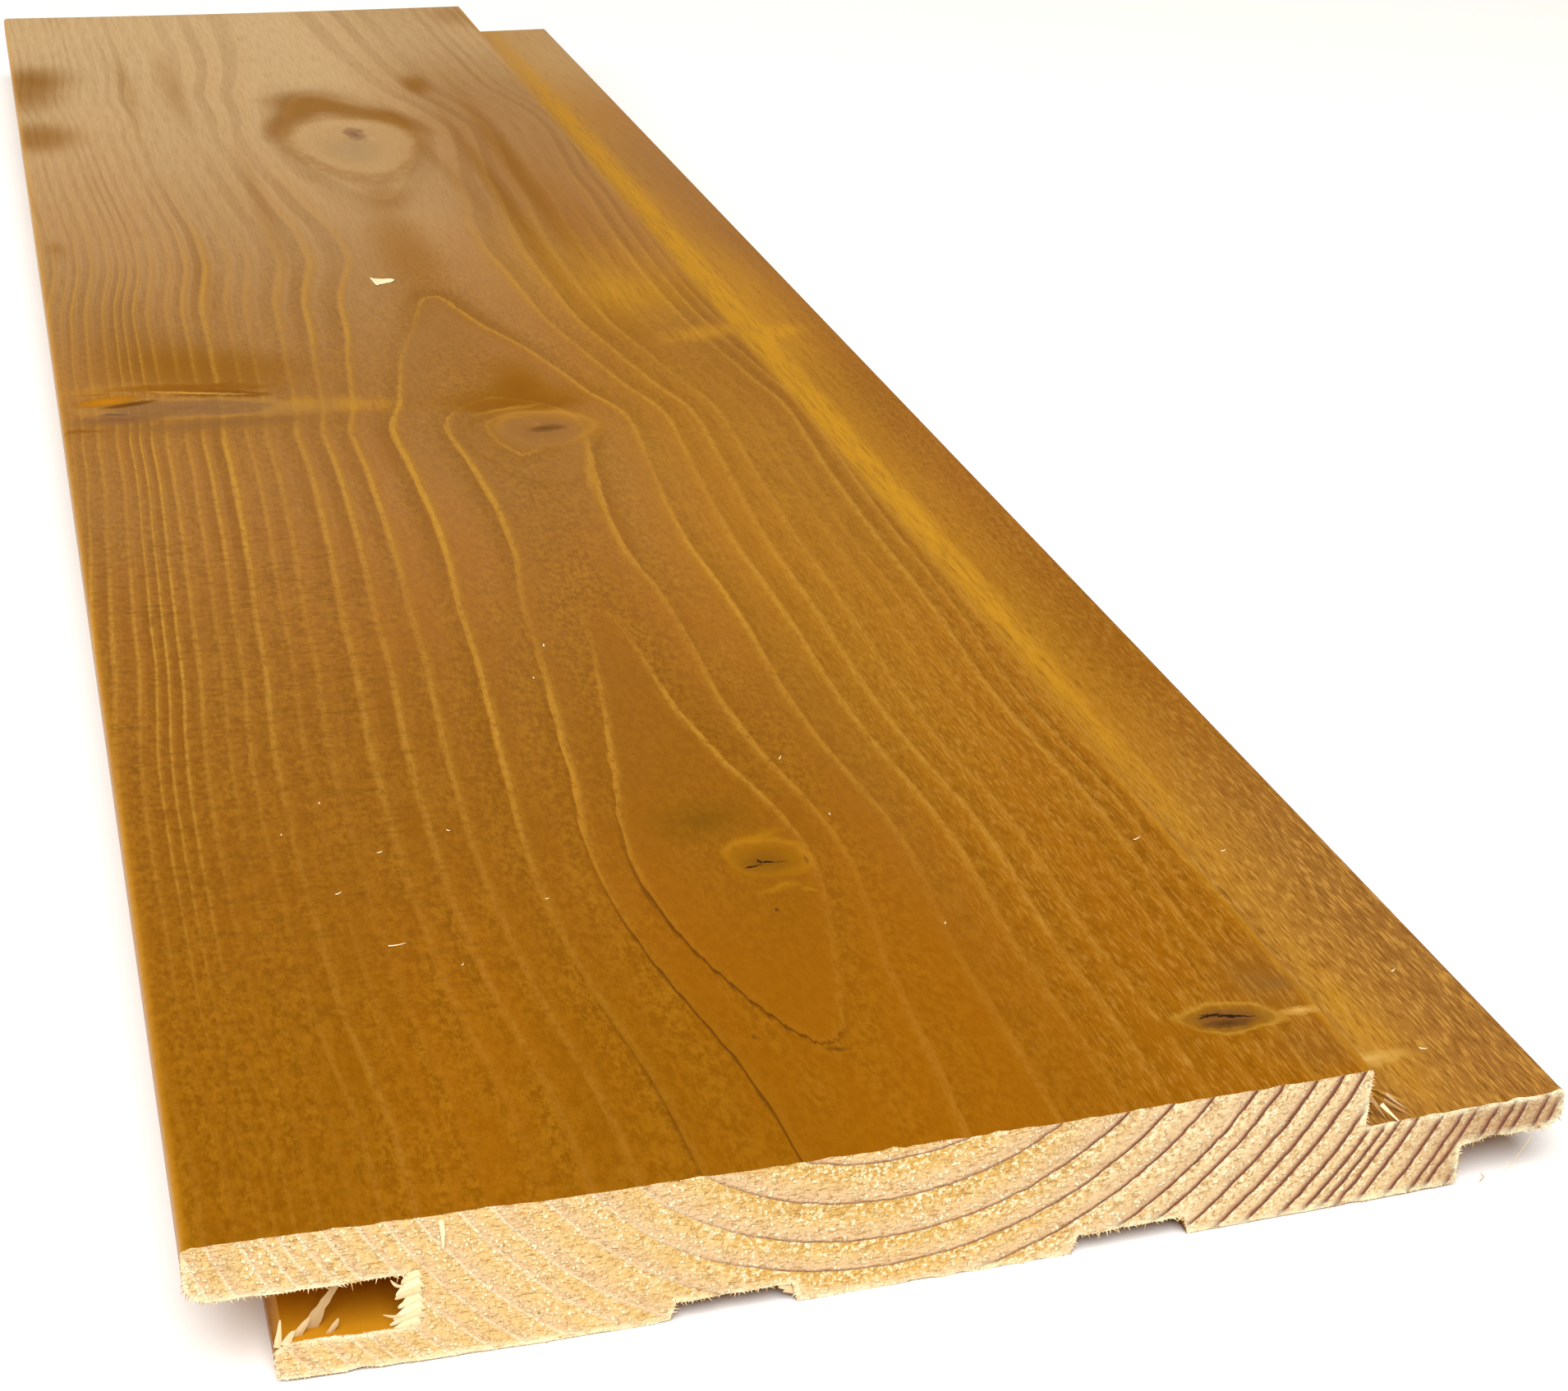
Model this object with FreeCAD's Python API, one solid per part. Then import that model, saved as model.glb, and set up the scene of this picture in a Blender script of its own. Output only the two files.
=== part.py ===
"""Sauna panel board: one length of planed softwood with a tongue and a groove.

The board is sawn to length and moulded on all four sides, so it is one piece of wood.
Its section has a flat show face, a face lip over a groove on the left edge, a rebate down
to a long tongue on the right edge, and two shallow relief grooves in the back.
Two boards that are pushed home meet at the back, and their faces leave a shadow gap.

Frame: +X across the board towards the tongue, +Y along the grain, +Z out of the show face.
The origin is at the middle of the back, so the back lies on z = 0. Sizes are in millimetres.
"""

import FreeCAD, Part
import math
import os

# Overall size of the board, with its tongue
board_length = 435.0
board_width = 120.0
board_thickness = 14.0

# Tongue edge: the show face ends at a step, and the tongue stands out past the shoulder
face_width = 100.0
tongue_reach = 10.0
tongue_thickness = 3.9
tongue_height = 4.2
tongue_taper = 0.3

# Groove edge: room for the tongue of the next board, and the gap that shows between faces
shadow_gap = 3.5
groove_side_clearance = 0.55
groove_end_clearance = 0.9

# Relief grooves in the back, which let the board lie flat on its battens
relief_count = 2
relief_middle_x = 61.0
relief_pitch = 35.1
relief_width = 9.8
relief_depth = 1.9
relief_draft_degrees = 15.0

# Edges as the moulder leaves them
face_edge_radius = 0.8
lip_nose_radius = 2.0
step_edge_radius = 0.3
step_root_radius = 0.6
tongue_edge_radius = 0.6
tongue_chamfer = 1.0
shoulder_root_radius = 0.3
back_edge_radius = 0.5
lower_lip_chamfer = 0.8
lower_lip_radius = 0.9
groove_root_radius = 0.3

# Lines that follow from those sizes. Widths are counted from the edge of the face lip.
shoulder_x = board_width - tongue_reach
tongue_top = tongue_height + tongue_thickness
lower_lip_x = shoulder_x - face_width - shadow_gap
groove_floor = tongue_height - groove_side_clearance
groove_roof = tongue_top + groove_side_clearance
groove_end_x = lower_lip_x + tongue_reach + groove_end_clearance
relief_flare = relief_depth * math.tan(math.radians(relief_draft_degrees))


def corner(x, z, radius=0.0, chamfer=0.0):
    """One corner of the section: where it is, and how its edge is eased."""
    return {"at": FreeCAD.Vector(x, 0.0, z), "radius": radius, "chamfer": chamfer}


def relief_corners(centre_x):
    """The four corners of one relief groove, from right to left, wider at its mouth."""
    half_roof = relief_width / 2
    half_mouth = half_roof + relief_flare
    return [
        corner(centre_x + half_mouth, 0.0),
        corner(centre_x + half_roof, relief_depth),
        corner(centre_x - half_roof, relief_depth),
        corner(centre_x - half_mouth, 0.0),
    ]


def section_corners():
    """The whole section, clockwise from the left edge of the show face."""
    face_and_tongue = [
        corner(0.0, board_thickness, radius=face_edge_radius),
        corner(face_width, board_thickness, radius=step_edge_radius),
        corner(face_width, tongue_top, radius=step_root_radius),
        corner(board_width, tongue_top, radius=tongue_edge_radius),
        corner(board_width, tongue_height + tongue_taper, chamfer=tongue_chamfer),
        corner(shoulder_x, tongue_height, radius=shoulder_root_radius),
        corner(shoulder_x, 0.0, radius=back_edge_radius),
    ]
    back = []
    for number in range(relief_count):
        offset = (relief_count - 1) / 2 - number
        back += relief_corners(relief_middle_x + offset * relief_pitch)
    groove_and_lips = [
        corner(lower_lip_x, 0.0, radius=lower_lip_radius),
        corner(lower_lip_x, groove_floor, chamfer=lower_lip_chamfer),
        corner(groove_end_x, groove_floor, radius=groove_root_radius),
        corner(groove_end_x, groove_roof, radius=groove_root_radius),
        corner(0.0, groove_roof, radius=lip_nose_radius),
    ]
    return face_and_tongue + back + groove_and_lips


def eased(before, here, after):
    """Where a corner's easing starts and ends, and the edge that joins those two points."""
    to_before = (before["at"] - here["at"]).normalize()
    to_after = (after["at"] - here["at"]).normalize()
    half_turn = to_before.getAngle(to_after) / 2
    setback = here["chamfer"] or here["radius"] / math.tan(half_turn)
    start = here["at"] + to_before * setback
    end = here["at"] + to_after * setback
    if here["chamfer"]:
        return start, end, Part.LineSegment(start, end).toShape()
    if not here["radius"]:
        return here["at"], here["at"], None
    bisector = (to_before + to_after).normalize()
    centre = here["at"] + bisector * (here["radius"] / math.sin(half_turn))
    middle = centre - bisector * here["radius"]
    return start, end, Part.Arc(start, middle, end).toShape()


def section_face():
    """The section as one flat face at the near end of the board."""
    corners = section_corners()
    count = len(corners)
    easings = [eased(corners[i - 1], corners[i], corners[(i + 1) % count]) for i in range(count)]
    edges = []
    for i, (start, end, easing) in enumerate(easings):
        if easing:
            edges.append(easing)
        next_start = easings[(i + 1) % count][0]
        edges.append(Part.LineSegment(end, next_start).toShape())
    face = Part.Face(Part.Wire(edges))
    face.translate(FreeCAD.Vector(-board_width / 2, -board_length / 2, 0.0))
    return face


def panel_board():
    """The moulded board, sawn square at both ends."""
    return section_face().extrude(FreeCAD.Vector(0.0, board_length, 0.0))


os.makedirs("parts", exist_ok=True)
board = panel_board()
board.exportStep("parts/panel_board.step")
print("panel_board volume", round(board.Volume), "mm3, valid", board.isValid())
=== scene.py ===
"""Looks of one sauna panel board: a stained softwood board with a tongue and a groove.

The board lies on its back on a pale floor, seen along its length from above its near sawn end.
Sizes are in millimetres and are turned to metres where they reach a mesh.
"""

import math

import bmesh
import bpy
import numpy as np
from mathutils import Euler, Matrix, Vector, geometry, noise


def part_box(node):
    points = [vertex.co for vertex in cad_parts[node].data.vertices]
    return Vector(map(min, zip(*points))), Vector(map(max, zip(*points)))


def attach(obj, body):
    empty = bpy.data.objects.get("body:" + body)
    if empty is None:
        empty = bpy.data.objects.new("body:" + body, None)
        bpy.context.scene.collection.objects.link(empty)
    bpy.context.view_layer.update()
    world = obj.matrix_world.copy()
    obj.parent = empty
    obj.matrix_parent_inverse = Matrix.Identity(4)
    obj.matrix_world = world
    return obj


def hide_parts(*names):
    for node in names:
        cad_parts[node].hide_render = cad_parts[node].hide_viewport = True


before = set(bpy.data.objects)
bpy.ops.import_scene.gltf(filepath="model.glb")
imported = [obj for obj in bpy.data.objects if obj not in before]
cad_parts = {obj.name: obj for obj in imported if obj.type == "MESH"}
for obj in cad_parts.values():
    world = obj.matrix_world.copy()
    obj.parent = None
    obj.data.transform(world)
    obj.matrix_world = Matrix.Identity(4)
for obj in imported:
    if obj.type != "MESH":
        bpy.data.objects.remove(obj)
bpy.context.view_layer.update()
MM = 0.001


# Board outline
# The moulded section of a planed spruce board. It is read from the frame's own solid, so that the
# board keeps its exact lips, groove, tongue and relief grooves, and is cut into small cells.

FACE_CELL = 0.9
HIDDEN_CELL = 1.5
NEAR_STEP = 1.0
FAR_STEP = 2.7
END_CELL = 0.55
WELD = 1e-6
STEP_X = 40.0
TONGUE_TOP = 8.1
SHOW_FACE_LOW = 13.0

board_low, board_high = (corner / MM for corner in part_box("panel_board"))
board_width = board_high.x - board_low.x
board_length = board_high.y - board_low.y
board_thickness = board_high.z - board_low.z


def put_in_scene(name, data):
    """A new object in the scene, at the origin."""
    made = bpy.data.objects.new(name, data)
    bpy.context.scene.collection.objects.link(made)
    return made


def near_end_outline(node):
    """The solid's edges round its near end, as one closed list of (x, z) in millimetres."""
    solid = bmesh.new()
    solid.from_mesh(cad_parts[node].data)
    bmesh.ops.remove_doubles(solid, verts=solid.verts, dist=WELD)
    near = min(vertex.co.y for vertex in solid.verts)
    neighbours = {}
    for edge in solid.edges:
        at_end = all(abs(vertex.co.y - near) < WELD for vertex in edge.verts)
        if at_end and edge.calc_face_angle(0.0) > 1.0:
            first, second = edge.verts
            neighbours.setdefault(first, []).append(second)
            neighbours.setdefault(second, []).append(first)
    start = min(neighbours, key=lambda vertex: (vertex.co.x, vertex.co.z))
    path = [start]
    previous = None
    while len(path) < len(neighbours):
        onward = [vertex for vertex in neighbours[path[-1]] if vertex is not previous]
        previous = path[-1]
        path.append(onward[0])
    outline = [(vertex.co.x / MM, vertex.co.z / MM) for vertex in path]
    solid.free()
    turn = sum(a[0] * b[1] - b[0] * a[1] for a, b in zip(outline, outline[1:] + outline[:1]))
    return outline if turn > 0 else outline[::-1]


def divided(outline):
    """The outline with its long straight runs divided into cells."""
    points = []
    for (ax, az), (bx, bz) in zip(outline, outline[1:] + outline[:1]):
        level = abs(az - bz) < 0.01 and az > TONGUE_TOP - 0.1
        shown = level and (az > SHOW_FACE_LOW or ax > STEP_X - 1.0)
        cell = FACE_CELL if shown else HIDDEN_CELL
        count = max(1, math.ceil(math.hypot(bx - ax, bz - az) / cell))
        points += [(ax + (bx - ax) * i / count, az + (bz - az) * i / count) for i in range(count)]
    return points


def stations():
    """Places along the board where its section repeats, closer together at the near end."""
    places = [board_low.y]
    while places[-1] < board_high.y:
        along = (places[-1] - board_low.y) / board_length
        places.append(places[-1] + NEAR_STEP + (FAR_STEP - NEAR_STEP) * along)
    scale = board_length / (places[-1] - board_low.y)
    return [board_low.y + (place - board_low.y) * scale for place in places]


outline = divided(near_end_outline("panel_board"))


def add_end(board, y, cell):
    """Closes one end with small triangles, so that the saw's marks can be raised on it."""
    ring = [Vector(point) for point in outline]
    spots = list(ring)
    rows = math.ceil(board_thickness / cell)
    columns = math.ceil(board_width / cell)
    for row in range(rows):
        for column in range(columns):
            x = board_low.x + (column + 0.5 + 0.25 * (row % 2)) * cell
            z = board_low.z + (row + 0.5) * cell
            spots.append(Vector((x, z)))
    rim = [(i, (i + 1) % len(ring)) for i in range(len(ring))]
    flat, _, faces, _, _, _ = geometry.delaunay_2d_cdt(spots, rim, [], 1, 1e-5)
    made = [board.verts.new((p.x * MM, y * MM, p.y * MM)) for p in flat]
    for face in faces:
        board.faces.new([made[i] for i in face])


def board_mesh():
    """The plain board, straight and sharp, cut into cells."""
    board = bmesh.new()
    rings = []
    for y in stations():
        rings.append([board.verts.new((x * MM, y * MM, z * MM)) for x, z in outline])
    count = len(outline)
    for near, far in zip(rings, rings[1:]):
        for i in range(count):
            board.faces.new([near[i], near[(i + 1) % count], far[(i + 1) % count], far[i]])
    add_end(board, board_low.y, END_CELL)
    add_end(board, board_high.y, 2 * END_CELL)
    bmesh.ops.remove_doubles(board, verts=board.verts, dist=WELD)
    loose = [vertex for vertex in board.verts if not vertex.link_faces]
    bmesh.ops.delete(board, geom=loose, context="VERTS")
    bmesh.ops.recalc_face_normals(board, faces=board.faces)
    mesh = bpy.data.meshes.new("panel_board_wood")
    board.to_mesh(mesh)
    board.free()
    return mesh


# Growth rings
# The board was sawn beside the pith, so its show face cuts the rings nearly flat and draws long
# loops. The pith runs above the face. It comes nearer the face at each whorl of branches.

WIDEST_RING = 150.0
RING_EDGES = [16.0, 20.2, 21.8, 25.8, 29.6, 32.5, 35.4, 38.9, 40.9, 43.8, 46.0, 47.9, 50.3, 51.9, 53.2,
              54.3, 56.0, 58.4, 60.3, 61.4, 63.4, 64.8, 65.9, 68.0, 69.2, 71.2, 73.2, 75.5, 77.5]
PITH_HEIGHT = {
    -230: 20.9, -217: 20.6, -203.5: 20.2, -199: 19.95, -192: 19.5, -180: 18.5, -170: 18.0, -160: 18.4,
    -152: 19.1, -137: 19.7, -120: 19.95, -107: 20.12, -95: 20.7, -80: 20.7, -65: 20.3, -55: 19.8,
    -48: 19.6, -44: 20.3, -39.5: 21.8, -35: 22.2, -27: 23.1, -20: 23.8, -8: 25.1, 0: 25.45, 9.5: 25.7,
    30: 27.2, 48: 26.9, 60: 25.85, 75: 25.2, 85: 24.2, 100: 23.1, 110: 22.4, 122: 23.8, 133: 25.0,
    142: 25.8, 160: 27.2, 180: 28.1, 230: 28.7,
}
PITH_ACROSS = {
    -230: -4.0, -203: -3.6, -192: -4.9, -170: -4.4, -152: -4.9, -137: -4.8, -120: -3.6, -100: -3.2,
    -75: -2.0, -52: -0.9, -35: -1.5, -10: -2.5, 10: -2.4, 30: -0.6, 55: -0.4, 75: -1.2, 105: -0.8,
    125: -1.5, 142: -4.8, 160: -4.0, 230: -5.5,
}


def smooth_along(stops, y, softness=3.5):
    """A value that changes softly along the board between its stops."""
    grid = np.arange(-260.0, 260.0, 1.0)
    plain = np.interp(grid, list(stops), list(stops.values()))
    reach = np.arange(-20.0, 21.0)
    weights = np.exp(-((reach / softness) ** 2))
    soft = np.convolve(np.pad(plain, 20, mode="edge"), weights / weights.sum(), mode="valid")
    return np.interp(y, grid, soft)


def waver(points, size, seed):
    """Soft natural waviness, drawn out along the grain."""
    values = [noise.noise(Vector((x / size[0], y / size[1], z / size[2] + seed))) for x, y, z in points]
    return np.array(values)


def pith_distance(points):
    """Distance from the pith, which is the age of the wood, for each point."""
    x, y, z = points.T
    across = x - smooth_along(PITH_ACROSS, y, 8.0)
    above = smooth_along(PITH_HEIGHT, y) + board_thickness - z
    return np.hypot(across, above)


def ring_count(radius):
    """How many rings lie inside each distance from the pith."""
    return np.interp(radius, RING_EDGES, np.arange(len(RING_EDGES)))


def ring_values(points):
    """For each point, the number of its ring, and how fast that number grows in x, y and z."""
    radius = pith_distance(points)
    off_middle = np.clip((np.abs(points[:, 0] + 3.0) - 3.0) / 12.0, 0, 1)
    wavy = 0.35 * waver(points, (14.0, 60.0, 14.0), 3.0) + 0.12 * waver(points, (4.0, 22.0, 4.0), 9.0)
    number = ring_count(radius + off_middle * wavy)
    step = 0.5
    growth = [ring_count(pith_distance(points + move)) - ring_count(pith_distance(points - move))
              for move in np.eye(3) * step]
    return number, np.array(growth).T / (2 * step)


def ring_widths(mesh, growth):
    """The width in millimetres that a ring shows on the face at each corner of the mesh."""
    widths = []
    for face in mesh.polygons:
        normal = np.array(face.normal)
        for vertex in face.vertices:
            along = growth[vertex] - normal * growth[vertex].dot(normal)
            widths.append(1.0 / max(np.linalg.norm(along), 1.0 / WIDEST_RING))
    return widths


# Board shape
# The real board has dried into a slight cup, its saw cut bows out in the middle, and the saw has
# torn the rim of the cut and left soft ridges across the end grain.

CUP = 0.33
CUT_BOW = 0.8
CUT_BOW_REACH = 30.0
SAW_RIDGE = 0.1
RIM_TEAR = 0.22


def shape_board(mesh):
    """Gives the board its cup, its bowed saw cut and the roughness of the cut."""
    near = board_low.y * MM
    rim_places = {(round(x, 3), round(z, 3)) for x, z in outline}
    for vertex in mesh.vertices:
        x, y, z = vertex.co / MM
        share = (x - board_low.x) / board_width
        middle = 4 * share * (1 - share)
        at_near_end = abs(vertex.co.y - near) < WELD
        spot = Vector((x, z, 0.0))
        if at_near_end:
            y += SAW_RIDGE * noise.noise(Vector((x * 0.35 + z * 0.2, z * 0.9, 1.0)))
            y += 0.6 * SAW_RIDGE * noise.noise(spot * 1.7)
        if at_near_end and (round(x, 3), round(z, 3)) in rim_places:
            tear = noise.noise(spot * 1.1) + 0.6 * noise.noise(spot * 2.9)
            low = z < 8.5
            z += (RIM_TEAR if low else 0.25 * RIM_TEAR) * (abs(tear) if z < 1.0 else tear)
            y += RIM_TEAR * max(0.0, tear)
        y -= CUT_BOW * middle * max(0.0, 1 - (y - board_low.y) / CUT_BOW_REACH)
        z += CUP * (1 - middle)
        vertex.co = Vector((x, y, z)) * MM


# Stain pools and knots
# The oil stain sinks unevenly into sapwood, resin and the twisted grain round each knot. A soft
# patch is held on the mesh's own points; a knot or crack is drawn by its distance from its heart.

def soft_patches(points, patches):
    """Sums soft oval patches: middle x and y, half width and length, turn in degrees, strength."""
    total = np.zeros(len(points))
    for x, y, half_width, half_length, turn, strength in patches:
        angle = math.radians(turn)
        dx, dy = points[:, 0] - x, points[:, 1] - y
        across = (dx * math.cos(angle) + dy * math.sin(angle)) / half_width
        along = (dy * math.cos(angle) - dx * math.sin(angle)) / half_length
        total += strength * np.exp(-(across ** 2 + along ** 2) ** 1.5)
    return total


DEEP_PATCHES = [
    (-58, 152, 7, 17, 0, 0.85), (-53, 162, 6, 9, 0, 0.35), (-57, 114, 7, 10, 0, 0.85),
    (-57, 43, 1.5, 4, 0, 0.5), (-40, -19, 14, 9, -14, 0.95), (-47, -8, 9, 8, 0, 0.35),
    (2, -39, 12, 5, 0, 0.8), (3, -32, 4, 9, -6, 0.8), (24, -6, 4, 15, 0, 0.45), (34, 3, 8, 9, 0, 0.35),
    (25, -212, 9, 9, 0, 0.25), (37, 208, 5, 10, 0, 0.4), (18, 145, 2.6, 8, 0, 0.95), (-5, 134, 7, 8, 12, 1),
    (-8.5, 125, 4, 8, -18, 0.9), (3.5, 125, 5, 9, 38, 0.9), (10, 116, 3, 8, 20, 0.8),
    (-13, 114, 2.5, 8, -8, 0.7), (0, 66, 4, 9, 0, 0.35), (-2, 35, 4.5, 28, 0, 0.45),
    (25.5, 70, 2.2, 60, 0, 0.75), (19.3, 50, 1.6, 60, 0, 0.7), (30, 40, 1.8, 40, 0, 0.3),
    (-35, 20, 2, 25, 0, 0.2), (-30, 150, 2.5, 30, 0, 0.35), (-38.5, 150, 1.5, 25, 0, 0.3),
    (-22, 60, 1.6, 40, 0, 0.3), (12, 90, 1.4, 40, 4, 0.3), (-6, 2, 2.2, 12, -14, 0.3),
    (3, -6, 2.4, 14, 16, 0.35),
]
GREY_PATCHES = [
    (37.5, -202, 5, 6, 0, 0.8), (38, -213, 4.5, 3.5, 0, 0.8), (-42, -41.5, 19, 4, 0, 0.6),
    (1, -70, 6, 12, 0, 0.15), (-50, 0, 8, 14, 0, 0.3), (14, -160, 4, 40, 0, 0.3), (54, -195, 8, 40, 0, 0.6),
    (43, -190, 3, 30, 0, 0.5),
]
PALE_PATCHES = [
    (46.3, -80, 2.6, 115, 0, 0.7), (46.6, 90, 3, 160, 0, 0.8), (50, -40, 4.5, 190, 0, 0.3),
    (35, -17, 7, 3, 18, 0.5), (30, 9, 9, 22, 0, 0.3), (53, 12, 5, 36, 0, 0.28), (43, 14, 4, 26, 0, 0.3),
    (53, 175, 7, 60, 0, 0.2), (24, -85, 16, 80, 0, 0.22), (18, 20, 8, 30, 0, 0.2), (49, -3, 6, 3, 18, 0.5),
    (46.5, -205, 3, 12, 0, 0.4), (-27.5, -36, 2.5, 2.6, 0, 0.6), (-21.5, -37, 2.5, 2.8, 0, 0.6),
    (-17, -38, 2, 2.5, 0, 0.4), (-52, -26, 9, 3, 0, 0.25), (28, 5, 6, 9, 0, 0.25),
]


def fade(heart, heart_cover, middle, middle_cover, rim, middle_at=0.6):
    """The shades of a mark that fades out at its rim."""
    return [(0.0, heart, heart_cover), (middle_at, middle, middle_cover), (1.0, rim, 0.0)]


# A mark is: middle, half width and length, turn, shades, and how far it narrows to its far end, if it
# does. Shades go from its heart outwards, each with a place, a colour and how much it covers.
KNOTS = [
    ((-0.5, 100), (12.8, 24), 0, [
        (0.0, "#AE8856", 0.6), (0.5, "#B08A56", 0.5), (0.74, "#B48C54", 0.3), (0.9, "#926424", 0.5),
        (1.0, "#8E602A", 0.45), (1.25, "#8E602A", 0.0)], 0.35),
    ((0.4, 108.5), (2.6, 7), 0, fade("#6E4838", 0.85, "#7E583E", 0.7, "#9A7448", 0.4)),
    ((-1.5, 97), (6.5, 12), 0, fade("#98805E", 0.5, "#9E825A", 0.35, "#A88A58"), 0.3),
    ((1.6, -41.5), (10.5, 4.6), 0, fade("#845000", 0.95, "#865200", 0.75, "#885600")),
    ((2.6, -36), (4.4, 8), -8, fade("#845000", 0.9, "#865200", 0.65, "#885600", 0.5), 0.2),
    ((0.6, -58), (9, 15), 0, [
        (0.0, "#96682E", 0.3), (0.8, "#96682E", 0.3), (0.93, "#825412", 0.3),
        (1.12, "#7E500E", 0.0)], 0.35),
    ((3, -51.6), (7.4, 7.6), -14, [
        (0.0, "#B47C28", 0.0), (0.55, "#B47C28", 0.3), (0.85, "#B88232", 0.65), (1.0, "#A8741C", 0.3),
        (1.14, "#A07008", 0.0)], 0.2),
    ((1.8, -53.2), (7.2, 7.8), -8, [
        (0.0, "#8E602E", 0.95), (0.7, "#92642E", 0.85), (0.9, "#94641E", 0.4), (1.1, "#8A5A1A", 0.0)], 0.2),
    ((-1, -43.5), (6.4, 1), 14, fade("#AE7A28", 0.8, "#AA7624", 0.5, "#A07010", 0.5)),
    ((3, -51.4), (3.6, 2), 6, fade("#5E3812", 0.9, "#6E461C", 0.8, "#8A5A28", 0.4)),
    ((1.8, -62.2), (1.9, 1.7), 0, fade("#74481A", 0.7, "#A06E26", 0.5, "#A06E26", 0.5)),
    ((5.6, -68), (0.9, 12), -10, fade("#B88634", 0.6, "#B27E2C", 0.4, "#A06C14", 0.5)),
    ((-42, -26.6), (14, 2.2), -6, fade("#844E00", 0.95, "#865200", 0.8, "#8A5804")),
    ((-38, -29.6), (8, 1.8), -12, fade("#764400", 1.0, "#7A4800", 0.85, "#845200")),
    ((-43, -34.4), (16, 4.6), -8, [
        (0.0, "#845C34", 0.95), (0.6, "#886238", 0.8), (0.82, "#A87A38", 0.6), (0.92, "#AA7C38", 0.4),
        (1.12, "#9A6C30", 0.0)]),
    ((-52, -37.4), (8, 2.4), 4, fade("#7A5030", 0.9, "#80582E", 0.7, "#865C2A")),
    ((-53, -35.4), (4, 0.9), 0, [(0.0, "#564038", 0.85), (1.0, "#76523C", 0.0)]),
    ((-57.5, -41.2), (5, 0.9), 0, [(0.0, "#845000", 0.9), (1.0, "#845000", 0.0)]),
    ((-40, -41.5), (14, 2.6), 2, fade("#845A2A", 0.8, "#885E2C", 0.6, "#906428")),
    ((-27, -37), (9, 3.4), 8, fade("#A27636", 0.6, "#A27636", 0.4, "#A07438")),
    ((-4.6, -162), (7, 5.6), 20, fade("#664200", 0.6, "#704A00", 0.4, "#7A5200", 0.5)),
    ((0.4, -166.2), (4.4, 1), 20, [(0.0, "#AA7408", 0.5), (1.0, "#A07008", 0.0)]),
    ((0, -170.6), (4.4, 4.4), 10, [
        (0.0, "#AC7612", 0.0), (0.6, "#AC7612", 0.25), (0.84, "#B07A14", 0.5), (1.15, "#A06800", 0.0)]),
    ((-0.6, -171.6), (3.9, 3.7), 10, [
        (0.0, "#6E4604", 0.9), (0.45, "#7E5006", 0.8), (0.85, "#8C5800", 0.6), (1.1, "#905C00", 0.0)]),
    ((-0.6, -176.8), (3.6, 0.8), 12, [(0.0, "#A67410", 0.6), (1.0, "#A07008", 0.0)]),
    ((2, -177.6), (1.6, 0.6), -30, [(0.0, "#A67410", 0.6), (1.0, "#A07008", 0.0)]),
    ((31.4, -207.4), (5.2, 2.6), -8, [
        (0.0, "#A87A1C", 0.0), (0.7, "#A87A1C", 0.3), (0.86, "#B48630", 0.6), (1.08, "#986400", 0.0)]),
    ((31.2, -207.5), (4.2, 2), -8, [
        (0.0, "#6E4420", 0.95), (0.5, "#744A1E", 0.9), (0.85, "#7A5014", 0.6), (1.1, "#8A5A08", 0.0)]),
    ((25.5, -208.5), (5.5, 2.6), 0, [(0.0, "#8E5600", 0.7), (1.0, "#8E5600", 0.0)]),
    ((37, -203), (4.2, 3), 0, [(0.0, "#785222", 0.6), (1.0, "#885C24", 0.0)]),
]

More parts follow.
